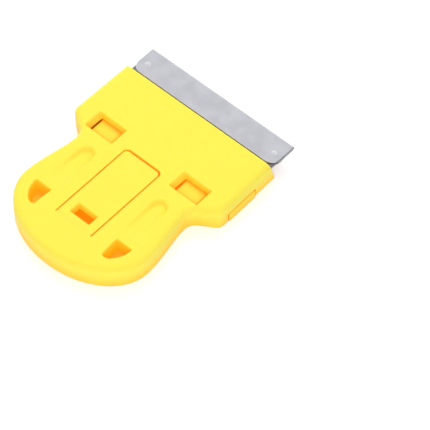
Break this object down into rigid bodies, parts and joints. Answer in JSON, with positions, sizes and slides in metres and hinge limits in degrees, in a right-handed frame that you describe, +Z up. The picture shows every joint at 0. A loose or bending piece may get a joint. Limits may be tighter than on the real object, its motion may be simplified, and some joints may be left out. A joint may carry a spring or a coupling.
{
  "type": "blade scraper",
  "caption": "Small moulded hand scraper that holds a spined single-edge blade in a front slot, with a sprung thumb tongue, snap windows and finger grooves.",
  "frame": {"origin": "centre of the bounding box on the flat underside that the scraper lies on", "axes": "+Y runs from the round handle end towards the blade, +Z points up out of the face with the thumb tongue, +X to the right"},
  "size_m": [0.0406, 0.0528, 0.0056],
  "materials": {
    "holder_plastic": "satin moulded lemon-yellow polypropylene",
    "blade_steel": "ground blade steel",
    "spine_steel": "dull rolled steel strip"
  },
  "bodies": {
    "holder": {"top_shell": "holder_plastic", "base_plate": "holder_plastic"},
    "tongue": {"thumb_tongue": "holder_plastic"},
    "blade": {"razor_blade": "blade_steel", "blade_spine": "spine_steel"}
  },
  "joints": [
    {"name": "blade_slide", "type": "slide", "parent": "holder", "child": "blade", "axis": [0, 1, 0], "range_m": [-0.0005, 0.0125]},
    {"name": "tongue_press", "type": "hinge", "parent": "holder", "child": "tongue", "pos_m": [0, -0.018, 0.00485], "axis": [-1, 0, 0], "range_deg": [0, 5.5], "stiffness_Nm_per_rad": 0.9}
  ]
}
